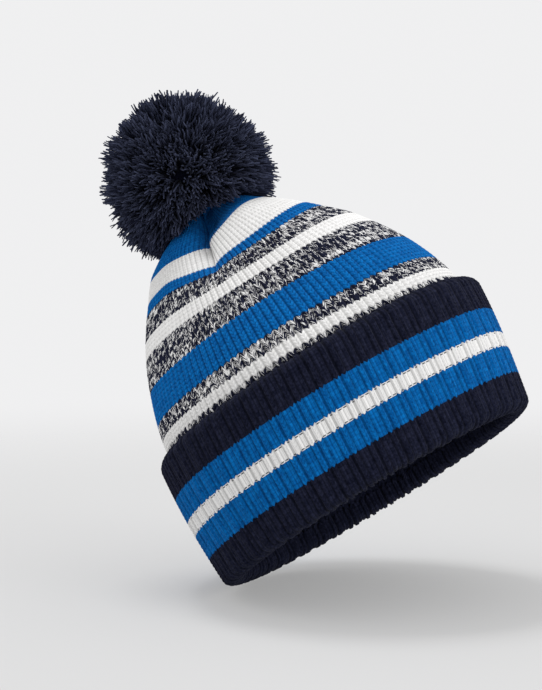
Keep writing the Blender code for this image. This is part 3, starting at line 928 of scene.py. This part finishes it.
def pom_reach(direction):
    """Distance from the middle of the ball to its outside, along unit directions."""
    down = POM_MIDDLE - POM_FOOT + 4.0 * MM
    up = POM_RADIUS + 0.6 * MM
    tall = np.where(direction[:, 2] > 0.0, up, down)
    flat = np.hypot(direction[:, 0], direction[:, 1])
    power = np.where(direction[:, 2] > 0.0, 2.1, 2.6)
    size = (flat / (POM_RADIUS - 1.8 * MM)) ** power + (np.abs(direction[:, 2]) / tall) ** power
    return size ** (-1.0 / power)


def unit(vectors):
    return vectors / np.linalg.norm(vectors, axis=1)[:, None]


def strand_paths():
    """Directions and lengths of the strands, which cling together in tufts."""
    index = np.arange(POM_TUFTS) + 0.5
    golden = math.pi * (1.0 + 5.0 ** 0.5)
    level = 1.0 - (1.0 - LOWEST_TUFT) * index / POM_TUFTS
    flat = np.sqrt(1.0 - level ** 2)
    tuft = np.stack([flat * np.cos(golden * index), flat * np.sin(golden * index), level], 1)
    tuft = unit(tuft + rng.normal(0.0, TUFT_JITTER, tuft.shape))
    sway = rng.normal(0.0, 1.0, tuft.shape)
    swell = (np.sin(tuft @ np.array([4.1, 2.3, 1.7]) + 0.7)
             * np.sin(tuft @ np.array([-2.2, 3.8, 2.9]) + 1.1))
    length = 1.0 + BALL_SWELL * swell + rng.normal(0.0, TUFT_LENGTH, POM_TUFTS)
    pick = np.repeat(np.arange(POM_TUFTS), TUFT_STRANDS)
    count = len(pick)
    root = unit(tuft[pick] + rng.normal(0.0, ROOT_SPREAD, (count, 3)))
    tilt = rng.normal(0.0, TUFT_TILT, tuft.shape)
    tip = unit(tuft[pick] + tilt[pick] + rng.normal(0.0, TIP_SPREAD, (count, 3)))
    reach = pom_reach(tip) * length[pick] * rng.normal(*STRAND_REACH, count)
    return root, tip, reach, sway[pick] + rng.normal(0.0, 0.35, (count, 3))


def rest_on_crown(path):
    """Lifts strand points that would be inside the hat onto the outside of the crown."""
    flat = np.hypot(path[..., 0], path[..., 1])
    share = np.clip(flat / CROWN_RADIUS, 0.0, 1.0)
    rise = (1.0 - share ** (1.0 / CROWN_ROUNDNESS)) ** (1.0 / CROWN_POWER)
    surface = CUFF_TOP + CROWN_HEIGHT * rise + CROWN_CLEARANCE
    path[..., 2] = np.maximum(path[..., 2], np.where(flat > 6.0 * MM, surface, 0.0))
    return path


def make_strands(root, tip, reach, sway):
    """Every strand is three plies that open out at the cut end."""
    count = len(root)
    share = np.linspace(0.0, 1.0, RINGS)
    bend = unit(np.cross(tip, sway))
    side = np.cross(tip, bend)
    curl = rng.uniform(0.0, 2.4, count) * MM
    centre = np.array([0.0, 0.0, POM_MIDDLE])
    start = root * (ROOT_DEPTH * reach)[:, None]
    end = tip * reach[:, None]
    spine = (centre + start[:, None] * (1.0 - share[None])[..., None]
             + end[:, None] * share[None][..., None]
             + bend[:, None] * (curl[:, None] * (share ** 2 - share)[None] * 4.0)[..., None])
    turn = rng.uniform(0.0, 2.0 * math.pi, count)
    wind = rng.uniform(0.5, 1.0, count)
    open_end = rng.uniform(0.9, 2.2, count)
    thick = rng.uniform(0.46, 0.70, count) * MM
    sag = np.hypot(tip[:, 0], tip[:, 1]) ** 2 * smoothstep(0.25, -0.55, tip[:, 2]) * 5.0 * MM
    sides_turn = 2.0 * math.pi * np.arange(SIDES) / SIDES
    tubes = []
    for ply in range(PLIES):
        angle = turn[:, None] + 2.0 * math.pi * (ply / PLIES + wind[:, None] * share[None])
        spread = (0.55 + (open_end[:, None] - 0.55) * smoothstep(0.5, 1.0, share)[None]) * MM
        offset = (bend[:, None] * np.cos(angle)[..., None]
                  + side[:, None] * np.sin(angle)[..., None]) * spread[..., None]
        trim = rng.uniform(-0.02, 0.05, count)
        path = spine + offset + tip[:, None] * (trim * reach)[:, None, None] * share[None, :, None]
        path[:, :, 2] -= sag[:, None] * share[None] ** 2
        path = rest_on_crown(path)
        width = thick[:, None] * (1.0 - 0.45 * smoothstep(0.75, 1.0, share))[None]
        ring = (bend[:, None, None] * np.cos(sides_turn)[None, None, :, None]
                + side[:, None, None] * np.sin(sides_turn)[None, None, :, None])
        corner = path[:, :, None] + ring * width[..., None, None]
        ends = np.stack([path[:, 0], path[:, -1] + tip * 0.3 * MM], axis=1)
        tubes.append(np.concatenate([corner.reshape(count, -1, 3), ends], axis=1))
    return np.concatenate(tubes)


def strands_object(name, tubes):
    """Mesh of many strands; layer 'strand' holds the place along each and a number of its own."""
    count, size = tubes.shape[:2]
    quads, caps = tube_faces(RINGS, SIDES)
    base = (np.arange(count) * size)[:, None, None]
    quads = (quads[None] + base).reshape(-1, 4)
    caps = (caps[None] + base).reshape(-1, 3)
    mesh = mesh_from_arrays(name, tubes.reshape(-1, 3), quads, caps)
    loops = np.concatenate([quads.ravel(), caps.ravel()])
    corner_share = np.concatenate([np.repeat(np.linspace(0.0, 1.0, RINGS), SIDES), [0.0, 1.0]])
    own = rng.uniform(0.0, 1.0, count)
    across = np.repeat(own, size)[loops]
    along = np.tile(corner_share, count)[loops]
    add_uv(mesh, "strand", across, along)
    return link(name, mesh)


def make_pom(thread):
    tubes = make_strands(*strand_paths())
    tubes += crown_shift(PIVOT.z)
    tips = tubes[:, -1, 2]
    foot = PIVOT.z - 4.0 * MM
    top = POM_MIDDLE + 28.0 * MM
    material = pom_material("pom_cut_yarn")
    # The yarn at the crown stays pressed on it. The skirt and the middle band are each split into front and back
    # and tied to no body; the bodies and heights listed with them are not read.
    parts = (("pom_skirt_yarn", tips < POM_MIDDLE, "pom_skirt_tufts",
              ("tie", "swivel", foot, POM_MIDDLE)),
             ("pom_middle_yarn", (tips >= POM_MIDDLE) & (tips < top), "pom_middle_tufts",
              ("swivel", "pom_pom", POM_MIDDLE, top)),
             ("pom_upper_yarn", tips >= top, "pom_upper_tufts", None))
    front = tubes[:, -1, 1] < 0.0
    for name, picked, node, bend in parts:
        if not bend:
            piece = strands_object(name, tubes[picked])
            finish_piece(piece, material, "pom_pom", (node,))
            continue
        for half, side in (("_front", front), ("_back", ~front)):
            piece = strands_object(name + half, tubes[picked & side])
            finish_piece(piece, material, None, (node,))
            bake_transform(piece)
    make_core(material, thread)


def make_core(material, thread):
    """Packed yarn round the middle, inside the tufts, and the binding that ties it."""
    rows, columns = 40, 64
    polar = np.linspace(0.02, math.pi * 0.60, rows)
    turn = 2.0 * math.pi * np.arange(columns) / columns
    p, t = np.meshgrid(polar, turn, indexing="ij")
    direction = np.stack([np.sin(p) * np.cos(t), np.sin(p) * np.sin(t), np.cos(p)], -1)
    flat = direction.reshape(-1, 3)
    reach = pom_reach(flat) * (0.66 + 0.03 * np.sin(31.0 * flat[:, 0]) * np.sin(27.0 * flat[:, 1]))
    corner = np.array([0.0, 0.0, POM_MIDDLE]) + flat * reach[:, None] + crown_shift(PIVOT.z)
    top = np.array([[0.0, 0.0, POM_MIDDLE + 0.66 * (POM_RADIUS + 1.0 * MM)]])
    foot = corner[-columns:].mean(axis=0)[None]
    corner = np.concatenate([corner, top + crown_shift(PIVOT.z), foot])
    quads, caps = tube_faces(rows, columns)
    mesh = mesh_from_arrays("pom_packed_core", corner, quads[:, ::-1], caps[:, ::-1])
    finish_piece(link("pom_packed_core", mesh), material, "pom_pom")

    low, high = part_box("pom_core_binding")
    ring = 0.5 * (high.x - low.x) - 1.3 * MM
    route = loop_points(ring, 0.5 * (low.z + high.z), 120) + crown_shift(PIVOT.z)
    piece = tubes_object("pom_core_tie", twisted(route, 1.3 * MM, 3, 4.0 * MM))
    finish_piece(piece, thread, "pom_pom", ("pom_core_binding",))


make_pom(navy_thread)


# ---- Floor, light and camera -----------------------------------------------------------------
FLOOR_PITCH = 5.2           # how far the camera looks down on the floor, in degrees
FLOOR_COLOUR = (0.40, 0.40, 0.40)
FLOOR_GLOW = 0.265          # brings the floor to the pale grey behind the hat
SKY = (0.868, 0.868, 0.875)
# Direction from the hat as shares of right, up and towards the camera, then distance, size, watts.
LIGHTS = {"key": ((-0.22, 1.0, -0.12), 1.5, 0.5, 9.0),
          "side": ((1.0, 0.28, 0.9), 1.6, 1.0, 6.5)}


def rolled_axes():
    """Right, up and back directions of the picture."""
    right, back = view_axes()
    up = back.cross(right)
    roll = math.radians(VIEW_ROLL)
    rolled_right = right * math.cos(roll) - up * math.sin(roll)
    rolled_up = right * math.sin(roll) + up * math.cos(roll)
    return rolled_right, rolled_up, back


def make_camera():
    right, _ = view_axes()
    rolled_right, rolled_up, back = rolled_axes()
    aim = right * AIM_RIGHT + Vector((0.0, 0.0, AIM_HEIGHT))
    place = aim + back * VIEW_DISTANCE
    data = bpy.data.cameras.new("photo_view")
    data.lens = LENS
    data.clip_start = 0.05
    camera = link("photo_view", data)
    axes = Matrix((rolled_right, rolled_up, back)).transposed().to_4x4()
    camera.matrix_world = Matrix.Translation(place) @ axes
    bpy.context.scene.camera = camera
    return aim


def floor_material():
    """Pale matt floor, seen only from above, that fades out at its edge."""
    nodes = Nodes("floor_pale")
    for key, value in (("Base Color", FLOOR_COLOUR), ("Emission Color", (1.0, 1.0, 1.0)),
                       ("Emission Strength", FLOOR_GLOW), ("Roughness", 0.95),
                       ("Specular IOR Level", 0.0)):
        nodes.feed(nodes.shader.inputs[key], value)
    length = nodes.add("ShaderNodeVectorMath", operation="LENGTH")
    nodes.feed(length.inputs[0], nodes.place())
    inside = nodes.step(length.outputs["Value"], 0.95, 0.40)
    front = nodes.math("SUBTRACT", 1.0, nodes.add("ShaderNodeNewGeometry").outputs["Backfacing"])
    nodes.feed(nodes.shader.inputs["Alpha"], nodes.math("MULTIPLY", inside, front))
    return nodes.material


def make_floor():
    _, rolled_up, back = rolled_axes()
    pitch = math.radians(FLOOR_PITCH)
    normal = (rolled_up * math.cos(pitch) + back * math.sin(pitch)).normalized()
    lowest = math.inf
    for name in ("rim_fold",) + CUFF_NODES:
        mesh = bpy.data.objects[name + "_knit"].data
        corner = np.empty(len(mesh.vertices) * 3, np.float32)
        mesh.vertices.foreach_get("co", corner)
        lowest = min(lowest, float((corner.reshape(-1, 3) @ np.array(normal)).min()))
    bpy.ops.mesh.primitive_circle_add(vertices=96, radius=1.0, fill_type="NGON")
    floor = bpy.context.object
    floor.name = "studio_floor"
    floor.data.materials.append(floor_material())
    along = Vector((0.0, 0.0, 1.0)).rotation_difference(normal).to_matrix().to_4x4()
    spot = normal * (lowest - 0.8 * MM)
    floor.matrix_world = Matrix.Translation(spot) @ along


def make_light(aim):
    for name, (shares, distance, size, power) in LIGHTS.items():
        data = bpy.data.lights.new(name, "AREA")
        data.shape = "DISK"
        data.size = size
        data.energy = power
        direction = sum((axis * share for axis, share in zip(rolled_axes(), shares)), Vector())
        turned = direction.to_track_quat("Z", "Y").to_matrix().to_4x4()
        place = aim + direction.normalized() * distance
        link(name, data).matrix_world = Matrix.Translation(place) @ turned
    world = bpy.data.worlds.new("studio")
    bpy.context.scene.world = world
    world.use_nodes = True
    sky = world.node_tree.nodes["Background"]
    sky.inputs[0].default_value = (*SKY, 1.0)
    sky.inputs[1].default_value = 1.0


bpy.context.scene.view_settings.view_transform = "Standard"
make_floor()
make_light(make_camera())
